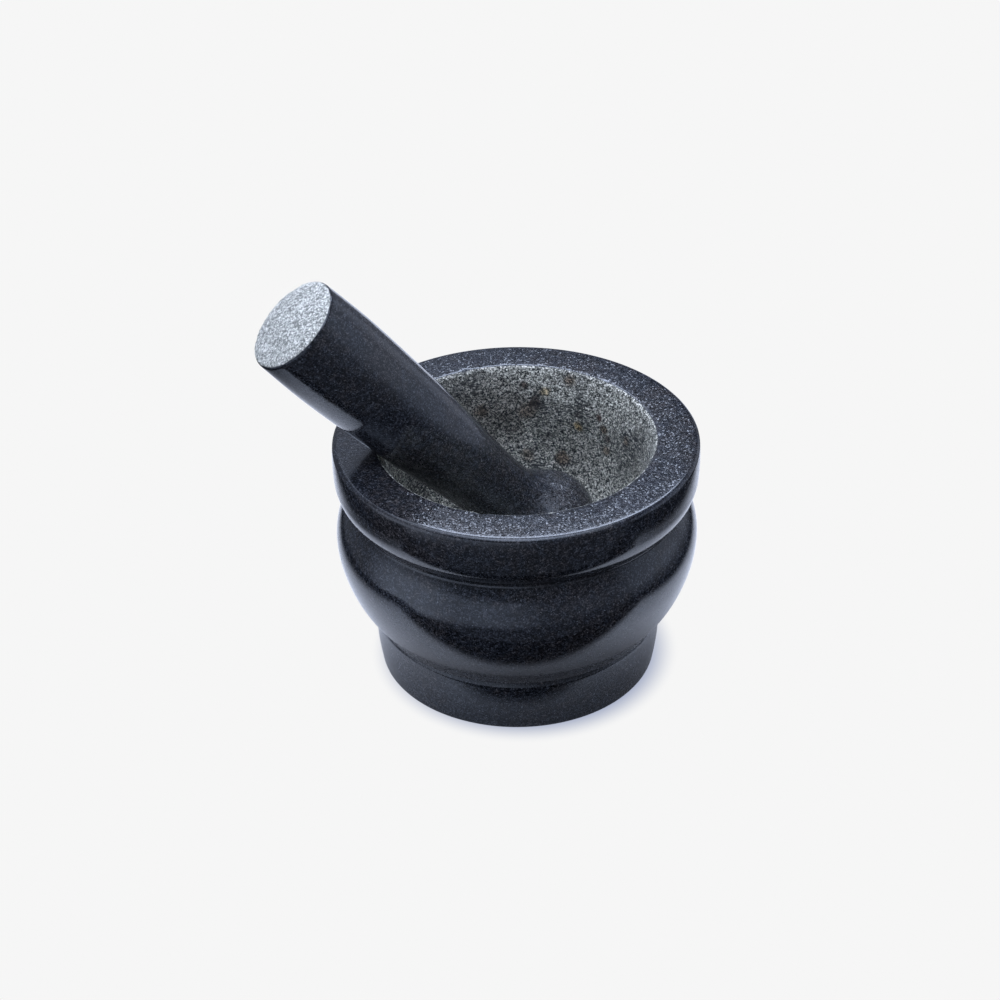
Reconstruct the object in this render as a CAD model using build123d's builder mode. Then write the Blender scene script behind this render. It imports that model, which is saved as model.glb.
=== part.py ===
from build123d import *
import os
from math import cos, radians, sin

# All sizes in mm. The foot's underside lies on Z = 0 and the mortar's axis is Z.

# Mortar outside, from the foot upwards, as (radius, height) where both matter
foot_radius = 53.9
foot_middle = (55.5, 11.5)
foot_top = (55.8, 21.3)
foot_edge_radius = 1.5
foot_groove = (55.1, 22.7)
crease = (56.6, 23.7)
belly_low = (62.8, 33.4)
belly_rising = (67.2, 43.2)
belly_widest = (69.8, 57.3)
shoulder = (68.2, 66.0)
groove = (63.3, 74.1)
groove_radius = 1.8
lip_underside = (68.05, 79.0)
lip_low = (69.8, 85.6)
lip_widest = (70.0, 91.3)
lip_top_radius = 69.7
lip_edge_radius = 1.7
height = 98.2

# Mortar inside
mouth_radius = 52.9
mouth_edge_radius = 1.5
wall_middle = (49.25, 86.3)
bowl_radius = 48.0
bowl_centre_height = 73.9

# Pestle, as (radius, distance down the axis from the rim of its free end)
free_end_radius = 18.8
free_end_dome = (10.0, -1.88)
free_end_rise = 2.6
free_end_edge_radius = 1.2
grip_thickest = (19.3, 23.0)
grip_upper = (18.5, 46.0)
grip_middle = (17.3, 69.0)
grip_lower = (15.45, 92.0)
waist = (13.8, 119.3)
flare = (18.5, 131.0)
head_radius = 23.2
head_at = 142.8
head_round = (16.4, 158.14)
head_nose = (0, 164.5)

# How the pestle leans: centre of its free end, turn about Z, and angle below level
free_end_centre = (-80.3, -19.5, 159.3)
lean_turn = radians(17.7)
lean_down = radians(49.0)

os.makedirs("parts", exist_ok=True)

# Mortar: foot, belly, groove, lip and bowl turned from one piece of stone
with BuildPart() as mortar:
    with BuildSketch(Plane.XZ):
        with BuildLine():
            Line((0, 0), (foot_radius, 0))
            Spline((foot_radius, 0), foot_middle, foot_top)
            Line(foot_top, foot_groove)
            Line(foot_groove, crease)
            Spline(
                crease,
                belly_low,
                belly_rising,
                belly_widest,
                tangents=[(0.55, 1), (0, 1)],
            )
            ThreePointArc(belly_widest, shoulder, groove)
            ThreePointArc(groove, lip_underside, lip_low)
            ThreePointArc(lip_low, lip_widest, (lip_top_radius, height))
            Line((lip_top_radius, height), (mouth_radius, height))
            ThreePointArc((mouth_radius, height), wall_middle, (bowl_radius, bowl_centre_height))
            CenterArc((0, bowl_centre_height), bowl_radius, 0, -90)
            Line((0, bowl_centre_height - bowl_radius), (0, 0))
        make_face()
    revolve(axis=Axis.Z)
    rim_rings = mortar.edges().filter_by(GeomType.CIRCLE).group_by(Axis.Z)[-1]
    fillet(rim_rings.sort_by(SortBy.RADIUS)[-1], lip_edge_radius)
    rim_rings = mortar.edges().filter_by(GeomType.CIRCLE).group_by(Axis.Z)[-1]
    fillet(rim_rings.sort_by(SortBy.RADIUS)[0], mouth_edge_radius)
    groove_rings = mortar.edges().filter_by(GeomType.CIRCLE)
    groove_rings = groove_rings.filter_by_position(Axis.Z, groove[1] - 1, groove[1] + 1)
    fillet(groove_rings.sort_by(SortBy.RADIUS)[-1], groove_radius)
    foot_ring = mortar.edges().filter_by(GeomType.CIRCLE).group_by(Axis.Z)[0]
    fillet(foot_ring, foot_edge_radius)
mortar.part.label = "mortar"
export_step(mortar.part, "parts/mortar.step")

# Pestle: domed free end, tapering grip, waist and bulbous grinding head
lean = Vector(cos(lean_down) * cos(lean_turn), cos(lean_down) * sin(lean_turn), -sin(lean_down))
across = Vector(-sin(lean_turn), cos(lean_turn), 0)
lean_plane = Plane(origin=free_end_centre, x_dir=across, z_dir=across.cross(lean))
with BuildPart() as pestle:
    with BuildSketch(lean_plane):
        with BuildLine():
            ThreePointArc((0, -free_end_rise), free_end_dome, (free_end_radius, 0))
            Spline(
                (free_end_radius, 0),
                grip_thickest,
                grip_upper,
                grip_middle,
                grip_lower,
                waist,
                tangents=[(0.04, 1), (0, 1)],
            )
            Spline(waist, flare, (head_radius, head_at), tangents=[(0, 1), (0, 1)])
            Spline((head_radius, head_at), head_round, head_nose, tangents=[(0, 1), (-1, 0)])
            Line(head_nose, (0, -free_end_rise))
        make_face()
    revolve(axis=Axis(free_end_centre, lean))
    rings = pestle.edges().filter_by(lambda edge: edge.is_closed)
    fillet(rings.sort_by_distance(free_end_centre)[0], free_end_edge_radius)
pestle.part.label = "pestle"
export_step(pestle.part, "parts/pestle.step")
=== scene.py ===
from math import cos, pi, radians, sin

import bpy
import numpy as np
from mathutils import Matrix, Vector, noise


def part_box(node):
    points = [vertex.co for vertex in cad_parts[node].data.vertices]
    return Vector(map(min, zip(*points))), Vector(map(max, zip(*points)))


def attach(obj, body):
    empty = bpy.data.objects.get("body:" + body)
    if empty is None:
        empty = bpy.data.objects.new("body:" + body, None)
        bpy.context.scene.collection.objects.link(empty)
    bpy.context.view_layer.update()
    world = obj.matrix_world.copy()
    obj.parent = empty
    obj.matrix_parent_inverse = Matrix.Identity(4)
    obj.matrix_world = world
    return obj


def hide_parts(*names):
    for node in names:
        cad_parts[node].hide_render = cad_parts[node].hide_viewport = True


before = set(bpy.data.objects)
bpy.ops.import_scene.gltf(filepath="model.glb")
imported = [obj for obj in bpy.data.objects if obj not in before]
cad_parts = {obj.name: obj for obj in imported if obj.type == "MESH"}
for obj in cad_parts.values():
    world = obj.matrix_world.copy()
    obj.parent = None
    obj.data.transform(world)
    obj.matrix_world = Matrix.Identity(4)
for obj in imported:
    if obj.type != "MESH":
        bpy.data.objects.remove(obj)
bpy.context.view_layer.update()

# One mm in metres. Outlines are in mm, as (radius, height) on the mortar and (radius, distance down the
# axis) on the pestle.
MM = 0.001

# Mortar outside
FOOT_RADIUS = 53.9
FOOT_MIDDLE = (55.5, 11.5)
FOOT_TOP = (55.8, 21.3)
FOOT_EDGE = 1.5
FOOT_GROOVE = (55.1, 22.7)
CREASE = (56.6, 23.7)
CREASE_FILLET = 0.5
BELLY_LOW = (62.8, 33.4)
BELLY_RISING = (67.2, 43.2)
BELLY_WIDEST = (69.8, 57.3)
SHOULDER = (68.2, 66.0)
GROOVE = (63.3, 74.1)
GROOVE_FILLET = 1.8
LIP_UNDERSIDE = (68.05, 79.0)
LIP_LOW = (69.8, 85.6)
LIP_WIDEST = (70.0, 91.3)
LIP_TOP_RADIUS = 69.7
LIP_EDGE = 1.7
HEIGHT = 98.2

# Mortar inside
MOUTH_RADIUS = 52.9
MOUTH_EDGE = 1.5
WALL_MIDDLE = (49.25, 86.3)
BOWL_RADIUS = 48.0
BOWL_CENTRE_HEIGHT = 73.9

# Pestle, and how it leans: the centre of its free end, its turn about Z and its angle below level
FREE_END_RADIUS = 18.8
FREE_END_DOME = (10.0, -1.88)
FREE_END_RISE = 2.6
FREE_END_EDGE = 1.2
GRIP = ((19.3, 23.0), (18.5, 46.0), (17.3, 69.0), (15.45, 92.0))
WAIST = (13.8, 119.3)
FLARE = (18.5, 131.0)
HEAD_WIDEST = (23.2, 142.8)
HEAD_ROUND = (16.4, 158.14)
HEAD_NOSE = (0.0, 164.5)
FREE_END_CENTRE = (-80.3, -19.5, 159.3)
LEAN_TURN = radians(17.7)
LEAN_DOWN = radians(49.0)

# Directions in which a curve leaves or arrives
ALONG_AXIS = (0, 1)
INWARDS = (-1, 0)
BELLY_START = (0.55, 1)
GRIP_START = (0.04, 1)

# How many points go round each turned mesh
MORTAR_SEGMENTS = 440
PESTLE_SEGMENTS = 300
# How many go round the coarse mesh whose box is compared with its CAD node's, and roughly how many are used
BOX_SEGMENTS = 72
BOX_POINTS = 4000

# Relief in mm. Layers of noise are (height, size, seed), and chips are (depth, noise level, size, seed).
MORTAR_WAVES = ((0.02, 16, 4),)
BOWL_ROUGHNESS = ((0.34, 5.5, 3), (0.30, 2.4, 7), (0.2, 1.3, 5))
BOWL_SINK = 0.12
BOWL_LINE_PITCH = 2.9
BOWL_LINE_HEIGHT = 0.09
MOUTH_CHIPS = (1.2, 0.34, 3.2, 21)
MOUTH_WEAR = ((0.05, 2.0, 12),)
MOUTH_SINK = 0.025
RIM_DROOP = 0.16
RIM_DROOP_FROM = 59
RIM_DROOP_REACH = 10
PESTLE_WAVES = ((0.02, 15, 6),)
FREE_END_ROUGHNESS = ((0.16, 4.5, 13), (0.26, 1.9, 17))
FREE_END_SINK = 0.1
FREE_END_CHIPS = (1.0, 0.3, 3.6, 31)
FREE_END_EDGE_SINK = 0.06
HEAD_WEAR = ((0.05, 3.0, 19),)
HEAD_SINK = 0.03

# Between which places wear and the satin finish set in, in mm: by height, radius and X on the mortar,
# and down the axis on the pestle, where the satin's edge wanders
RIM_WORN_HEIGHT = (HEIGHT - 0.6, HEIGHT - 0.3)
RIM_WORN_RADIUS = (66.8, 68.0)
RIM_WORN_X = (-57, -40)
HEAD_WORN = (132, 150)
HEAD_SATIN = (118, 138)
HEAD_SATIN_EDGE = ((8, 9, 23),)


# ---------------------------------------------------------------- outlines


def line(start, end, count):
    """Points evenly spaced on a straight line."""
    share = np.linspace(0, 1, count)[:, None]
    return np.array(start) + share * (np.array(end) - np.array(start))


def arc(start, middle, end, count):
    """Points evenly spaced on the arc through three points."""
    a, b, c = (np.array(point, float) for point in (start, middle, end))
    centre = np.linalg.solve(2 * np.array([b - a, c - a]), [b @ b - a @ a, c @ c - a @ a])
    spokes = np.array([a, b, c]) - centre
    first, _, last = np.unwrap(np.arctan2(spokes[:, 1], spokes[:, 0]))
    angle = np.linspace(first, last, count)
    return centre + np.linalg.norm(spokes[0]) * np.stack([np.cos(angle), np.sin(angle)], 1)


def curve(points, spacing, start=None, end=None):
    """A smooth cubic curve through the points, leaving and arriving in the given directions."""
    points = np.array(points, float)
    chords = np.linalg.norm(np.diff(points, axis=0), axis=1)
    slopes = np.diff(points, axis=0) / chords[:, None]
    count = len(points)
    system = np.zeros((count, count))
    right = np.zeros((count, 2))
    system[0, 0] = system[-1, -1] = 1
    for i in range(1, count - 1):
        system[i, i - 1 : i + 2] = chords[i - 1], 2 * (chords[i - 1] + chords[i]), chords[i]
        right[i] = 6 * (slopes[i] - slopes[i - 1])
    if start is not None:
        system[0, :2] = 2 * chords[0], chords[0]
        right[0] = 6 * (slopes[0] - np.array(start) / np.linalg.norm(start))
    if end is not None:
        system[-1, -2:] = chords[-1], 2 * chords[-1]
        right[-1] = 6 * (np.array(end) / np.linalg.norm(end) - slopes[-1])
    bend = np.linalg.solve(system, right)
    spans = []
    for i, chord in enumerate(chords):
        t = np.linspace(0, chord, max(2, round(chord / spacing)) + 1)[:, None]
        u = chord - t
        spans.append(
            (bend[i] * u**3 + bend[i + 1] * t**3) / (6 * chord)
            + (points[i] / chord - bend[i] * chord / 6) * u
            + (points[i + 1] / chord - bend[i + 1] * chord / 6) * t
        )
    return joined(*spans)


def joined(*runs):
    """Runs of points, end to end, without the repeated points where they meet."""
    return np.concatenate([runs[0]] + [run[1:] for run in runs[1:]])


def rounded(before, after, radius, count=6):
    """Two runs of points that meet at a corner, joined by a rounded corner of about that radius."""
    corner = before[-1]
    before = before[np.linalg.norm(before - corner, axis=1) > radius * 1.1]
    after = after[np.linalg.norm(after - corner, axis=1) > radius * 1.1]
    start, end = (
        corner + radius * (point - corner) / np.linalg.norm(point - corner)
        for point in (before[-1], after[0])
    )
    t = np.linspace(0, 1, count)[:, None]
    weights = (1 - t) ** 2, 2 * cos(pi / 4) * t * (1 - t), t**2
    bend = (weights[0] * start + weights[1] * corner + weights[2] * end) / sum(weights)
    return np.concatenate([before, bend, after])


def mortar_outline():
    """The mortar's outline from the middle of its underside round to the bottom of its bowl."""
    bowl_bottom = (0, BOWL_CENTRE_HEIGHT - BOWL_RADIUS)
    bowl_middle = (BOWL_RADIUS * cos(pi / 4), BOWL_CENTRE_HEIGHT - BOWL_RADIUS * sin(pi / 4))
    wall_foot = (BOWL_RADIUS, BOWL_CENTRE_HEIGHT)
    underside = line((0, 0), (FOOT_RADIUS, 0), 14)
    foot = curve([(FOOT_RADIUS, 0), FOOT_MIDDLE, FOOT_TOP], 1.3)
    foot_groove = joined(line(FOOT_TOP, FOOT_GROOVE, 7), line(FOOT_GROOVE, CREASE, 7))
    belly = curve([CREASE, BELLY_LOW, BELLY_RISING, BELLY_WIDEST], 1.2, BELLY_START, ALONG_AXIS)
    shoulder = arc(BELLY_WIDEST, SHOULDER, GROOVE, 18)
    lip_below = arc(GROOVE, LIP_UNDERSIDE, LIP_LOW, 16)
    lip_side = arc(LIP_LOW, LIP_WIDEST, (LIP_TOP_RADIUS, HEIGHT), 12)
    rim = line((LIP_TOP_RADIUS, HEIGHT), (MOUTH_RADIUS, HEIGHT), 14)
    wall = arc((MOUTH_RADIUS, HEIGHT), WALL_MIDDLE, wall_foot, 24)
    bowl = arc(wall_foot, bowl_middle, bowl_bottom, 62)
    outside = rounded(underside, foot, FOOT_EDGE)
    outside = rounded(outside, foot_groove, CREASE_FILLET, 5)
    outside = rounded(outside, joined(belly, shoulder), CREASE_FILLET, 5)
    outside = rounded(outside, joined(lip_below, lip_side), GROOVE_FILLET, 9)
    outside = rounded(outside, rim, LIP_EDGE, 7)
    return rounded(outside, joined(wall, bowl), MOUTH_EDGE, 7)


def pestle_outline():
    """The pestle's outline from the middle of its free end to the nose of its head."""
    dome = arc((0, -FREE_END_RISE), FREE_END_DOME, (FREE_END_RADIUS, 0), 18)
    grip = curve([(FREE_END_RADIUS, 0), *GRIP, WAIST], 2.0, GRIP_START, ALONG_AXIS)
    flare = curve([WAIST, FLARE, HEAD_WIDEST], 1.4, ALONG_AXIS, ALONG_AXIS)
    head = curve([HEAD_WIDEST, HEAD_ROUND, HEAD_NOSE], 1.3, ALONG_AXIS, INWARDS)
    return rounded(dome, joined(grip, flare, head), FREE_END_EDGE)


# ---------------------------------------------------------------- turned meshes


def cloud(points, size, seed):
    """Smooth noise, mostly from -0.5 to 0.5, with lumps of that size in mm."""
    shift = Vector((seed, 1.7 * seed, -seed))
    return np.array([noise.noise(Vector(point) / size + shift) for point in points])


def layers(points, *parts):
    """Layers of smooth noise together, each a height, a size and a seed."""
    return sum(height * cloud(points, size, seed) for height, size, seed in parts)


def chips(points, depth, level, size, seed):
    """How deep the stone is chipped: deeper the further the noise rises above the level."""
    return np.maximum(cloud(points, size, seed) - level, 0) * depth


def smooth_step(value, low, high):
    """0 below low, 1 above high, and a smooth rise between."""
    share = np.clip((value - low) / (high - low), 0, 1)
    return share * share * (3 - 2 * share)


def turned(outline, segments):
    """Points and outward normals of the outline turned about Z, row by row, without its two ends."""
    angle = np.linspace(0, 2 * pi, segments, endpoint=False)
    along = np.gradient(outline, axis=0)
    along /= np.linalg.norm(along, axis=1)[:, None]
    rows = outline[1:-1, :, None]
    slope = along[1:-1, :, None]

    def spun(radius, height):
        turns = radius * np.cos(angle), radius * np.sin(angle), height + 0 * angle
        return np.stack(turns, 2).reshape(-1, 3)

    return spun(rows[:, 0], rows[:, 1]), spun(slope[:, 1], -slope[:, 0])


def turned_piece(name, outline, segments, relief, marks, place):
    """A closed mesh turned about Z and put in place. relief gives each point's move outwards in mm, and
    marks gives its point attributes."""
    points, normals = turned(outline, segments)
    row = np.repeat(np.arange(1, len(outline) - 1), segments)
    points = points + normals * relief(points, row)[:, None]
    ends = np.array([(0, 0, outline[0, 1]), (0, 0, outline[-1, 1])])
    first_end = len(points)
    last_end = first_end + 1
    last_ring = first_end - segments
    ring = np.arange(segments)
    following = np.roll(ring, -1)
    band = np.stack([ring, following, following + segments, ring + segments], 1)
    faces = []
    for start in range(0, last_ring, segments):
        faces += (band + start).tolist()
    sides = list(zip(ring.tolist(), following.tolist()))
    faces += [(first_end, b, a) for a, b in sides]
    faces += [(last_end, a + last_ring, b + last_ring) for a, b in sides]
    mesh = bpy.data.meshes.new(name)
    mesh.from_pydata((np.concatenate([points, ends]) * MM).tolist(), [], faces)
    mesh.transform(place)
    mesh.shade_smooth()
    for mark, values in marks(points, row).items():
        values = np.concatenate([values, values[:1], values[-1:]])
        attribute = mesh.attributes.new(mark, "FLOAT", "POINT")
        attribute.data.foreach_set("value", values.astype(np.float32))
    piece = bpy.data.objects.new(name, mesh)
    bpy.context.scene.collection.objects.link(piece)
    return piece


def off_node(node, outline, place):
    """How far the turned outline's box, once placed, lies from its CAD node's box, in metres."""
    points, _ = turned(outline, BOX_SEGMENTS)
    points = points[:: len(points) // BOX_POINTS or 1]
    placed = np.array([place @ Vector(point * MM) for point in points])
    low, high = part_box(node)
    return (low + high) / 2 - Vector((placed.min(0) + placed.max(0)) / 2)


def row_nearest(outline, corner):
    """The number of the outline's point that is nearest to the corner."""
    return int(np.argmin(np.linalg.norm(outline - np.array(corner), axis=1)))


def make_mortar(material):
    """The mortar, with slight waves in its polish, a rough bowl and a chipped mouth."""
    outline = mortar_outline()
    mouth = row_nearest(outline, (MOUTH_RADIUS, HEIGHT))

    def relief(points, row):
        height = points[:, 2]
        reach = np.hypot(points[:, 0], points[:, 1])
        droop = RIM_DROOP * np.clip((reach - RIM_DROOP_FROM) / RIM_DROOP_REACH, 0, 1) ** 2
        waves = layers(points, *MORTAR_WAVES) - np.where(height > HEIGHT - 1, droop, 0)
        lines = np.sin(2 * pi * height / BOWL_LINE_PITCH + 3 * cloud(points, 14, 2))
        lines *= 0.4 + cloud(points, 11, 9)
        rough = layers(points, *BOWL_ROUGHNESS) + BOWL_LINE_HEIGHT * lines - BOWL_SINK
        worn = chips(points, *MOUTH_CHIPS) + layers(points, *MOUTH_WEAR) + MOUTH_SINK
        in_bowl = smooth_step(row, mouth, mouth + 5)
        at_mouth = np.exp(-(((row - mouth) / 3.0) ** 2))
        return waves + in_bowl * rough - at_mouth * worn

    def marks(points, row):
        ground = smooth_step(row, mouth - 2, mouth)
        level = smooth_step(points[:, 2], *RIM_WORN_HEIGHT)
        inward = 1 - smooth_step(np.hypot(points[:, 0], points[:, 1]), *RIM_WORN_RADIUS)
        used = smooth_step(points[:, 0], *RIM_WORN_X)
        return {"ground": ground, "satin": 0 * ground, "worn": level * inward * used * (1 - ground)}

    place = Matrix.Translation(off_node("mortar", outline, Matrix()))
    piece = turned_piece("mortar_stone", outline, MORTAR_SEGMENTS, relief, marks, place)
    piece.data.materials.append(material)
    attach(piece, "mortar")
    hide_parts("mortar")


def make_pestle(material):
    """The pestle, with a rough, chipped free end and a worn head."""
    outline = pestle_outline()
    edge = row_nearest(outline, (FREE_END_RADIUS, 0))
    level_reach = cos(LEAN_DOWN)
    lean = Vector((level_reach * cos(LEAN_TURN), level_reach * sin(LEAN_TURN), -sin(LEAN_DOWN)))
    across = Vector((-sin(LEAN_TURN), cos(LEAN_TURN), 0))
    place = Matrix((across, lean.cross(across), lean)).transposed().to_4x4()
    place.translation = Vector(FREE_END_CENTRE) * MM
    place.translation += off_node("pestle", outline, place)

    def relief(points, row):
        waves = layers(points, *PESTLE_WAVES)
        rough = layers(points, *FREE_END_ROUGHNESS) - FREE_END_SINK
        chipped = chips(points, *FREE_END_CHIPS) + FREE_END_EDGE_SINK
        worn = layers(points, *HEAD_WEAR) - HEAD_SINK
        on_end = 1 - smooth_step(row, edge - 1, edge + 2)
        at_edge = np.exp(-(((row - edge) / 2.5) ** 2))
        on_head = smooth_step(points[:, 2], *HEAD_WORN)
        return waves + on_end * rough - at_edge * chipped + on_head * worn

    def marks(points, row):
        ground = 1 - smooth_step(row, edge - 1, edge + 2)
        head = smooth_step(points[:, 2] + layers(points, *HEAD_SATIN_EDGE), *HEAD_SATIN)
        return {"ground": ground, "satin": head, "worn": head}

    piece = turned_piece("pestle_stone", outline, PESTLE_SEGMENTS, relief, marks, place)
    piece.data.materials.append(material)
    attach(piece, "pestle")
    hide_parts("pestle")


# ---------------------------------------------------------------- shader nodes


def add(tree, kind, inputs=None, **settings):
    """A new node with its settings; each input is a number, a colour or another node's socket."""
    made = tree.nodes.new("ShaderNode" + kind)
    for name, value in settings.items():
        setattr(made, name, value)
    for name, value in (inputs or {}).items():
        if isinstance(value, bpy.types.NodeSocket):
            tree.links.new(value, made.inputs[name])
        else:
            made.inputs[name].default_value = value
    return made


def maths(tree, operation, *values):
    """The result of one Math node."""
    return add(tree, "Math", dict(enumerate(values)), operation=operation).outputs[0]


def product(tree, *factors):
    """The numbers multiplied together."""
    total = factors[0]
    for factor in factors[1:]:
        total = maths(tree, "MULTIPLY", total, factor)
    return total


def weighted(tree, start, *parts):
    """start, plus each (weight, number) part's number times its weight."""
    total = start
    for weight, number in parts:
        total = maths(tree, "MULTIPLY_ADD", number, weight, total)
    return total


def step(tree, value, low, high, to_low=0.0, to_high=1.0):
    """A smooth step from to_low to to_high as the value goes from low to high."""
    inputs = {"Value": value, "From Min": low, "From Max": high, "To Min": to_low, "To Max": to_high}
    return add(tree, "MapRange", inputs, interpolation_type="SMOOTHSTEP").outputs[0]


def vectors(tree, operation, first, second):
    """The outputs of one Vector Math node."""
    return add(tree, "VectorMath", {0: first, 1: second}, operation=operation).outputs


def distance(tree, place, spot):
    """The distance in metres from a spot given in mm."""
    return vectors(tree, "DISTANCE", place, tuple(MM * value for value in spot))["Value"]


def mix(tree, factor, first, second, blend="MIX"):
    """A mix of two colours."""
    made = add(tree, "Mix", {0: factor, 6: first, 7: second}, data_type="RGBA", blend_type=blend)
    return made.outputs[2]


def mix_number(tree, factor, first, second):
    """A mix of two numbers."""
    return add(tree, "Mix", {0: factor, 2: first, 3: second}, data_type="FLOAT").outputs[0]


def ramp(tree, factor, *stops):
    """A colour ramp from (position, colour) stops."""
    made = add(tree, "ValToRGB", {0: factor})
    elements = made.color_ramp.elements
    while len(elements) < len(stops):
        elements.new(1.0)
    for element, (position, colour) in zip(elements, stops):
        element.position = position
        element.color = (*colour, 1)
    return made.outputs[0]


def noise_of(tree, place, size, detail, roughness=0.5):
    """Noise with lumps of that size in mm."""
    inputs = {"Vector": place, "Scale": 1 / (size * MM), "Detail": detail, "Roughness": roughness}
    return add(tree, "TexNoise", inputs).outputs["Fac"]


def crystals(tree, place, size):
    """The outputs of a texture of crystals of that size in mm."""
    return add(tree, "TexVoronoi", {"Vector": place, "Scale": 1 / (size * MM)}).outputs


def grains(tree, place, size):
    """A random number for each crystal of that size in mm, and the distance from its middle."""
    made = crystals(tree, place, size)
    number = add(tree, "SeparateColor", {0: made["Color"]}).outputs[0]
    return number, made["Distance"]


def speckle(tree, place, start, crystal_layers):
    """start, plus each (weight, size) layer's random numbers times its weight."""
    parts = [(weight, grains(tree, place, size)[0]) for weight, size in crystal_layers]
    return weighted(tree, start, *parts)


def facets(tree, place, size):
    """The height in metres of crystals of that size in mm: most lie level, and a few lean their own way."""
    made = crystals(tree, place, size)
    lean = vectors(tree, "SUBTRACT", made["Color"], (0.5, 0.5, 0.5))[0]
    reach = vectors(tree, "SUBTRACT", place, made["Position"])[0]
    squared = vectors(tree, "DOT_PRODUCT", lean, lean)["Value"]
    height = vectors(tree, "DOT_PRODUCT", lean, reach)["Value"]
    return product(tree, height, maths(tree, "POWER", squared, FACET_POWER))


# ---------------------------------------------------------------- granite

IOR = 1.58
SPECULAR_TINT = (0.86, 0.93, 1.0)

# Layers of crystals, each as (weight, size in mm)
POLISHED_CRYSTALS = ((0.46, 0.38), (0.34, 0.72))
GROUND_CRYSTALS = ((0.46, 0.56), (0.12, 1.0), (0.42, 0.40))

# Sizes in mm of the crystals that are bright specks, that take the polish unevenly, and that lean
SPECK_SIZE = 0.85
POLISH_SIZE = 0.45
FACET_SIZE = 0.55
# The higher this power, the fewer crystals lean
FACET_POWER = 3.0

# Polished stone: its shades from the darkest crystals to the lightest, its brown patches and its specks
POLISHED_SHADES = (
    (0.10, (0.003, 0.0038, 0.0048)),
    (0.42, (0.008, 0.0095, 0.0130)),
    (0.58, (0.021, 0.024, 0.032)),
    (0.74, (0.044, 0.050, 0.062)),
    (0.92, (0.095, 0.102, 0.118)),
)
BROWN_TINT = (1.25, 0.95, 0.72)
BROWN_STRENGTH = 0.6
SPECK = (0.28, 0.31, 0.35)
SPECK_STRENGTH = 0.4

# Ground stone: its dark, light and white crystals, the shade in its tool lines and in its hollows
BOWL_STONE = ((0.010, 0.011, 0.009), (0.42, 0.43, 0.375), (1.0, 1.0, 0.91))
FREE_END_STONE = ((0.17, 0.175, 0.16), (0.56, 0.575, 0.53), (0.90, 0.90, 0.85))
TOOL_LINE = (0.03, 0.032, 0.032)
HOLLOW = (0.055, 0.045, 0.035)
HOLLOW_STRENGTH = 0.45

# Roughness where polished, what its dullest crystals and the satin finish add, and where ground
POLISHED_ROUGHNESS = 0.06
DULL_CRYSTAL_ROUGHNESS = 0.20
SATIN_ROUGHNESS = 0.18
GROUND_ROUGHNESS = 0.82

# How much of the ground stone's colour shows on satin crystals and on worn stone
SATIN_SCUFF = 0.13
WORN_SCUFF = 0.01

# The bump's heights in mm
GROUND_TOOTH = 0.35
TOOL_RIDGES = 0.28
POLISHED_GRIT = 0.010
SATIN_GRIT = 0.018
# Mm of height for each metre that facets gives: everywhere, more where worn, and more where satin too
LEAN_POLISHED = 0.2 / MM
LEAN_WORN = 8.5 / MM
LEAN_SATIN_WORN = 10.0 / MM

# Stains, and grey patches of painted shade on the bowl's wall: place in mm, size, colour and strength
BROWN = (0.48, 0.37, 0.29)
UMBER = (0.20, 0.14, 0.12)
OCHRE = (0.85, 0.68, 0.42)
# A grey that darkens, for patches of painted shade
PAINTED_SHADE = (0.55, 0.53, 0.52)
BOWL_STAINS_AND_SHADE = (
    # These first three are painted shade on the back and lower wall of the bowl; the rest are real stains
    ((-12, 47, 80), 24, PAINTED_SHADE, 0.9),
    ((0, 47, 82), 14, PAINTED_SHADE, 0.5),
    ((27, 39, 63), 15, PAINTED_SHADE, 0.5),
    ((33, 36, 84), 2.6, UMBER, 1.0),
    ((35, 33.5, 80), 2.6, BROWN, 0.9),
    ((36.5, 31.5, 76.5), 2.4, UMBER, 0.8),
    ((36, 32, 71), 3.0, BROWN, 0.8),
    ((43, 22, 81.5), 3.0, BROWN, 0.8),
    ((25, 41, 77), 2.6, OCHRE, 1.0),
    ((19, 42, 61.5), 4.0, BROWN, 0.9),
    ((22, 47, 95), 3.4, BROWN, 0.9),
    ((3.5, 50, 91), 2.8, UMBER, 0.9),
    ((8, 48.5, 84), 3.0, UMBER, 0.8),
    ((4.5, 48, 80), 5.0, BROWN, 0.7),
    ((-13, 47, 81), 4.5, BROWN, 0.8),
    ((12.5, 48.5, 89), 2.6, OCHRE, 0.8),
    ((5, 46, 61), 4.0, BROWN, 0.7),
)
FREE_END_STAINS = (((-6, -16, -1), 3, OCHRE, 0.5),)


def zones(tree, place):
    """Where the stone is ground, satin and worn: the mesh's marks, frayed and made patchy."""
    ground, satin, worn = (
        add(tree, "Attribute", attribute_name=mark).outputs["Fac"] for mark in ("ground", "satin", "worn")
    )
    frayed = weighted(tree, -0.25, (1.0, ground), (0.5, noise_of(tree, place, 1.6, 3)))
    dust = noise_of(tree, place, 3.5, 5, 0.75)
    patches = noise_of(tree, place, 5.0, 4, 0.7)
    return (
        step(tree, frayed, 0.35, 0.65),
        product(tree, satin, step(tree, dust, 0.25, 0.75, 0.55, 1.0)),
        product(tree, worn, step(tree, patches, 0.40, 0.64, 0.25, 1.0)),
    )


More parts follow.
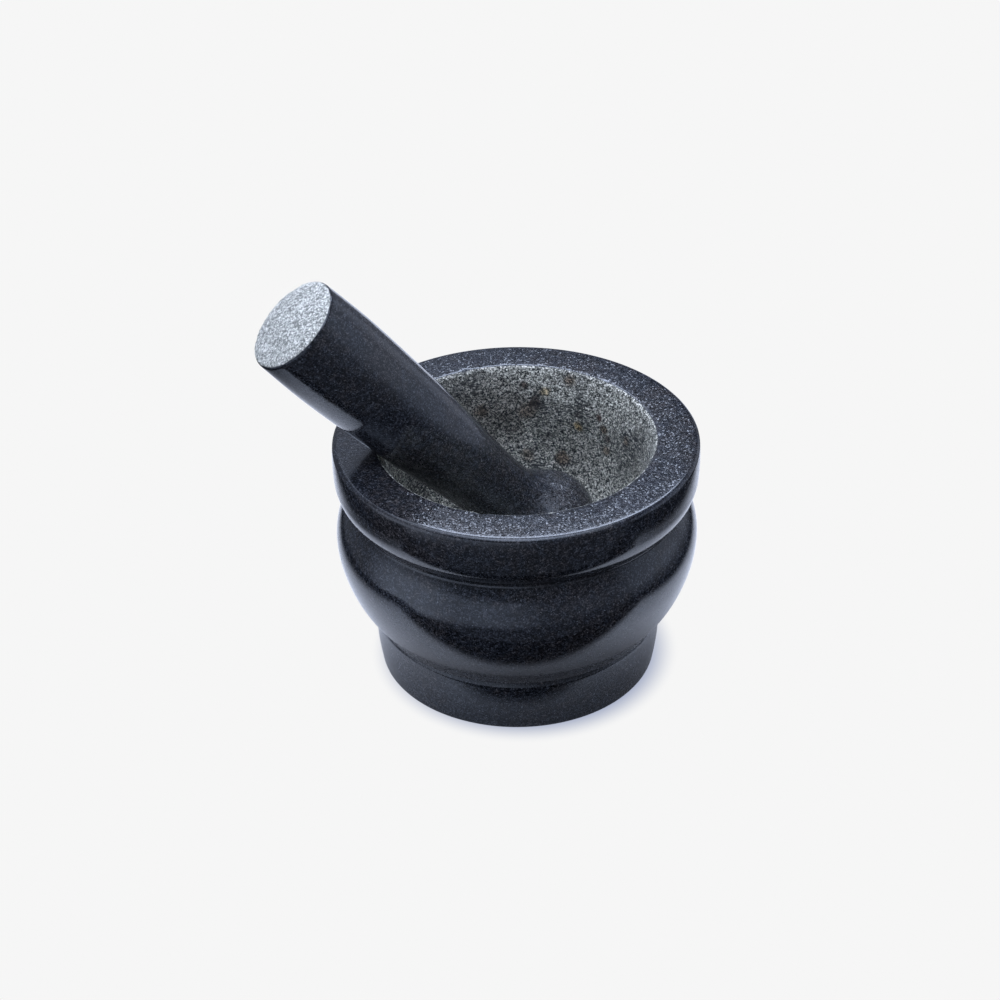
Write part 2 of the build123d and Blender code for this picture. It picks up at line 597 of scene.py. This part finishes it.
def polished_colour(tree, place):
    """Near-black stone with slate-grey crystals, faint brown patches and a few bright specks."""
    value = speckle(tree, place, -0.10, POLISHED_CRYSTALS)
    value = weighted(tree, value, (0.45, noise_of(tree, place, 1.8, 4, 0.75)))
    colour = ramp(tree, value, *POLISHED_SHADES)
    warm = weighted(tree, 0.0, (0.5, noise_of(tree, place, 26, 2)), (0.5, noise_of(tree, place, 3.0, 3)))
    brown = step(tree, warm, 0.42, 0.62, 0, BROWN_STRENGTH)
    colour = mix(tree, brown, colour, (*BROWN_TINT, 1), "MULTIPLY")
    chosen, from_middle = grains(tree, place, SPECK_SIZE)
    speck = product(tree, step(tree, chosen, 0.955, 0.97), step(tree, from_middle, 0.34, 0.16))
    return mix(tree, product(tree, speck, SPECK_STRENGTH), colour, (*SPECK, 1))


def ground_colour(tree, place, dark, light, white):
    """Crushed, unpolished stone: salt-and-pepper crystals."""
    value = speckle(tree, place, 0.0, GROUND_CRYSTALS)
    middle = tuple((a + b) / 2 for a, b in zip(dark, light))
    return ramp(tree, value, (0.28, dark), (0.47, middle), (0.60, light), (0.76, white))


def tool_lines(tree, place, strength):
    """Fine level lines, and how strongly the tool left them at each place."""
    level = add(tree, "Mapping", {"Vector": place, "Scale": (0.18, 0.18, 1.0)}).outputs[0]
    worked = step(tree, noise_of(tree, place, 22, 2), 0.40, 0.62)
    return noise_of(tree, level, 0.55, 3, 0.65), product(tree, worked, strength)


def aged(tree, place, colour, lines, lined, hollows, stains_and_shade):
    """Ground stone's colour, darker in its tool lines and hollows, stained in places and darkened by
    patches of painted shade.
    """
    in_lines = product(tree, lined, step(tree, lines, 0.62, 0.40))
    colour = mix(tree, in_lines, colour, (*TOOL_LINE, 1))
    patch = noise_of(tree, place, 7.5, 4, 0.7)
    in_hollows = product(tree, step(tree, patch, 0.52, 0.72), HOLLOW_STRENGTH * hollows)
    colour = mix(tree, in_hollows, colour, (*HOLLOW, 1))
    # Real stains, and grey patches of painted shade
    for spot, size, stain_and_shade_colour, strength in stains_and_shade:
        radius = size * MM
        frayed = weighted(tree, -0.8 * radius, (1.0, distance(tree, place, spot)), (1.6 * radius, patch))
        cover = step(tree, frayed, radius, 0.35 * radius, 0, strength)
        colour = mix(tree, cover, colour, (*stain_and_shade_colour, 1), "MULTIPLY")
    return colour


def polished_height(tree, place, satin, worn):
    """The polished stone's height in mm: a fine grit, and crystals that lean where it is worn."""
    grit = weighted(tree, POLISHED_GRIT, (SATIN_GRIT, satin))
    grit = product(tree, noise_of(tree, place, 0.6, 2), grit)
    lean = weighted(tree, LEAN_POLISHED, (LEAN_SATIN_WORN, product(tree, satin, worn)), (LEAN_WORN, worn))
    return maths(tree, "ADD", grit, product(tree, facets(tree, place, FACET_SIZE), lean))


def ground_height(tree, place, lines, lined):
    """The ground stone's height in mm: a rough tooth, and ridges between the tool lines."""
    tooth = noise_of(tree, place, 0.8, 4, 0.75)
    return weighted(tree, 0.0, (GROUND_TOOTH, tooth), (TOOL_RIDGES, product(tree, lines, lined)))


def granite(name, stone, hollows, stains_and_shade):
    """Granite that is polished, but satin, worn or ground where those marks are 1. hollows is how strongly
    tool lines and hollows show in the ground stone."""
    material = bpy.data.materials.new(name)
    material.use_nodes = True
    tree = material.node_tree
    place = add(tree, "TexCoord").outputs["Object"]
    ground, satin, worn = zones(tree, place)
    crystal, _ = grains(tree, place, POLISH_SIZE)
    lines, lined = tool_lines(tree, place, hollows)

    crushed = ground_colour(tree, place, *stone)
    scuffed = product(tree, satin, step(tree, crystal, 0.65, 1.0, 0, SATIN_SCUFF))
    scuffed = weighted(tree, scuffed, (WORN_SCUFF, worn))
    polished = mix(tree, scuffed, polished_colour(tree, place), crushed)
    # Stains and patches of painted shade on the ground stone
    crushed = aged(tree, place, crushed, lines, lined, hollows, stains_and_shade)

    dull = maths(tree, "POWER", crystal, 3.0)
    rough = weighted(tree, POLISHED_ROUGHNESS, (DULL_CRYSTAL_ROUGHNESS, dull), (SATIN_ROUGHNESS, satin))
    low_relief = polished_height(tree, place, satin, worn)
    height = mix_number(tree, ground, low_relief, ground_height(tree, place, lines, lined))
    bump = add(tree, "Bump", {"Height": height, "Distance": MM, "Strength": 1.0})

    shader = tree.nodes["Principled BSDF"].inputs
    tree.links.new(mix(tree, ground, polished, crushed), shader["Base Color"])
    tree.links.new(mix_number(tree, ground, rough, GROUND_ROUGHNESS), shader["Roughness"])
    tree.links.new(bump.outputs[0], shader["Normal"])
    shader["IOR"].default_value = IOR
    shader["Specular Tint"].default_value = (*SPECULAR_TINT, 1)
    return material


# ---------------------------------------------------------------- light, stage and camera

PALE = 0.9216
LIGHT_TINT = (0.90, 0.98, 1.20)
DARK_ROOM = 0.09
# Soft studio light, in degrees: name, middle (turned from +Y to +X), half its width, softness of its sides,
# lowest, highest, softness of its top and bottom, brightness. A negative brightness is a black flag, which
# takes that much light away.
PANELS = (
    ("overhead", 0, 128, 20, 41, 110, 12, 1.7),
    ("overhead_front", 180, 52, 20, 54, 110, 8, 2.9),
    ("overhead_flag", 8, 50, 14, 54, 100, 9, -1.0),
    ("sides", 180, 110, 20, 58, 110, 12, 0.8),
    ("flag_right", 76, 36, 14, 37, 62, 8, -1.45),
    ("strip", 8, 26, 6, 40, 62, 4, 6.2),
    ("behind", 0, 98, 12, -14, 50, 10, 0.13),
    ("behind_left", -14, 15, 8, 18, 50, 10, 0.14),
    ("flag", 17, 16, 5, 16, 48, 8, -0.26),
    ("left", -112, 22, 14, -28, 30, 6, 0.55),
    ("front_left", -135, 45, 20, -28, 18, 6, 0.50),
    ("front", -178, 30, 22, -24, 15, 8, 0.13),
    ("right", 86, 24, 12, -8, 30, 8, 0.40),
    ("front_right", 125, 25, 12, -14, 14, 9, 0.14),
    ("behind_right", 47, 11, 6, -8, 14, 6, 0.36),
)

# Floor and board in mm, with their edges as left, right, front and back
FLOOR_EDGES = (-6000, 6000, -6000, 6000)
FLOOR_HEIGHT = -0.1
SHADOW_CENTRE = (2.6, -1.2, 0)
SHADOW_FULL_WITHIN = FOOT_RADIUS - 7
SHADOW_GONE_FROM = FOOT_RADIUS + 8
SHADOW_COLOUR = (0.33, 0.38, 0.53)
BOARD_EDGES = (-220, 230, -110, 900)
BOARD_HEIGHT = -0.05
BOARD_CENTRE = (10, -8, 0)
# The board's shading: what it follows, from and to where in mm, and its brightness at each
BOARD_SHADING = (
    ("reach", 42, 85, 0.42, 1.0),
    ("reach", 100, 150, 1.0, 0.75),
    ("aside", -170, -115, 0.0, 1.0),
    ("aside", 180, 130, 0.0, 1.0),
    ("ahead", -77, -63, 0.0, 1.0),
)

# Camera: how far it looks down and is rolled in radians, and the rest in mm
CAMERA_PLACE = (-6.38, -800.3, 596.1)
CAMERA_DOWN = 0.582
CAMERA_ROLL = -0.0145
CAMERA_LENS = 89.4
CAMERA_SENSOR = 36
CAMERA_NEAREST = 50
CAMERA_FURTHEST = 50000


def fade(tree, value, middle, softness):
    """1 below the middle, falling smoothly to 0 above it; all in degrees but the value."""
    return step(tree, value, radians(middle - softness), radians(middle + softness), 1, 0)


def make_light():
    """The studio's panels, where the camera itself sees only a pale backdrop."""
    world = bpy.data.worlds.new("studio")
    world.use_nodes = True
    bpy.context.scene.world = world
    tree = world.node_tree
    tree.nodes.clear()
    direction = add(tree, "SeparateXYZ", {0: add(tree, "TexCoord").outputs["Generated"]}).outputs
    turn = maths(tree, "ARCTAN2", direction[0], direction[1])
    rise = maths(tree, "ARCSINE", direction[2])
    total = DARK_ROOM
    for _, middle, half, side_softness, low, high, softness, brightness in PANELS:
        aside = maths(tree, "WRAP", maths(tree, "SUBTRACT", turn, radians(middle)), pi, -pi)
        between_sides = fade(tree, maths(tree, "ABSOLUTE", aside), half, side_softness)
        below_top = fade(tree, rise, high, softness)
        above_bottom = maths(tree, "SUBTRACT", 1.0, fade(tree, rise, low, softness))
        lit = product(tree, between_sides, below_top, above_bottom)
        total = weighted(tree, total, (brightness, lit))
    total = maths(tree, "MAXIMUM", total, 0.0)
    studio = add(tree, "Background", {"Color": (*LIGHT_TINT, 1), "Strength": total})
    backdrop = add(tree, "Background", {"Color": (PALE, PALE, PALE, 1), "Strength": 1.0})
    seen = add(tree, "LightPath").outputs["Is Camera Ray"]
    both = add(tree, "MixShader", {0: seen, 1: studio.outputs[0], 2: backdrop.outputs[0]})
    tree.links.new(both.outputs[0], add(tree, "OutputWorld").inputs["Surface"])


def plane(name, edges, height):
    """A flat rectangle of the stage, in mm, and its empty material."""
    left, right, front, back = edges
    corners = [(left, front), (right, front), (right, back), (left, back)]
    mesh = bpy.data.meshes.new(name)
    mesh.from_pydata([(x * MM, y * MM, height * MM) for x, y in corners], [], [(0, 1, 2, 3)])
    material = bpy.data.materials.new(name)
    material.use_nodes = True
    material.node_tree.nodes.clear()
    mesh.materials.append(material)
    piece = bpy.data.objects.new(name, mesh)
    bpy.context.scene.collection.objects.link(piece)
    return piece, material.node_tree


def make_floor():
    """The pale floor with its soft shadow, which the camera sees but the object doesn't mirror."""
    floor, tree = plane("floor", FLOOR_EDGES, FLOOR_HEIGHT)
    away = distance(tree, add(tree, "TexCoord").outputs["Object"], SHADOW_CENTRE)
    shadow = step(tree, away, SHADOW_FULL_WITHIN * MM, SHADOW_GONE_FROM * MM, 1, 0)
    tint = mix(tree, shadow, (PALE, PALE, PALE, 1), (*SHADOW_COLOUR, 1))
    glow = add(tree, "Emission", {"Color": tint})
    tree.links.new(glow.outputs[0], add(tree, "OutputMaterial").inputs["Surface"])
    floor.visible_glossy = False
    floor.visible_diffuse = False


def make_board():
    """The white board under the object, which its polished faces mirror but the camera doesn't see."""
    board, tree = plane("board", BOARD_EDGES, BOARD_HEIGHT)
    place = add(tree, "TexCoord").outputs["Object"]
    aside, ahead, _ = add(tree, "SeparateXYZ", {0: place}).outputs
    follows = {"reach": distance(tree, place, BOARD_CENTRE), "aside": aside, "ahead": ahead}
    shades = [
        step(tree, follows[name], start * MM, end * MM, start_bright, end_bright)
        for name, start, end, start_bright, end_bright in BOARD_SHADING
    ]
    bright = product(tree, *shades)
    grey = add(tree, "CombineColor", {0: bright, 1: bright, 2: bright}).outputs[0]
    white = add(tree, "BsdfDiffuse", {"Color": grey})
    tree.links.new(white.outputs[0], add(tree, "OutputMaterial").inputs["Surface"])
    board.visible_camera = False
    board.visible_shadow = False


def make_camera():
    """The camera, in front of the object and looking down on it."""
    data = bpy.data.cameras.new("camera")
    data.lens = CAMERA_LENS
    data.sensor_width = CAMERA_SENSOR
    data.clip_start = CAMERA_NEAREST * MM
    data.clip_end = CAMERA_FURTHEST * MM
    camera = bpy.data.objects.new("camera", data)
    bpy.context.scene.collection.objects.link(camera)
    bpy.context.scene.camera = camera
    tilt = Matrix.Rotation(pi / 2 - CAMERA_DOWN, 4, "X") @ Matrix.Rotation(CAMERA_ROLL, 4, "Z")
    camera.matrix_world = Matrix.Translation(Vector(CAMERA_PLACE) * MM) @ tilt


make_camera()
make_light()
make_floor()
make_board()
# The bowl gets its real stains and its patches of painted shade
make_mortar(granite("mortar_granite", BOWL_STONE, 1.0, BOWL_STAINS_AND_SHADE))
make_pestle(granite("pestle_granite", FREE_END_STONE, 0.0, FREE_END_STAINS))
bpy.context.scene.view_settings.view_transform = "Standard"
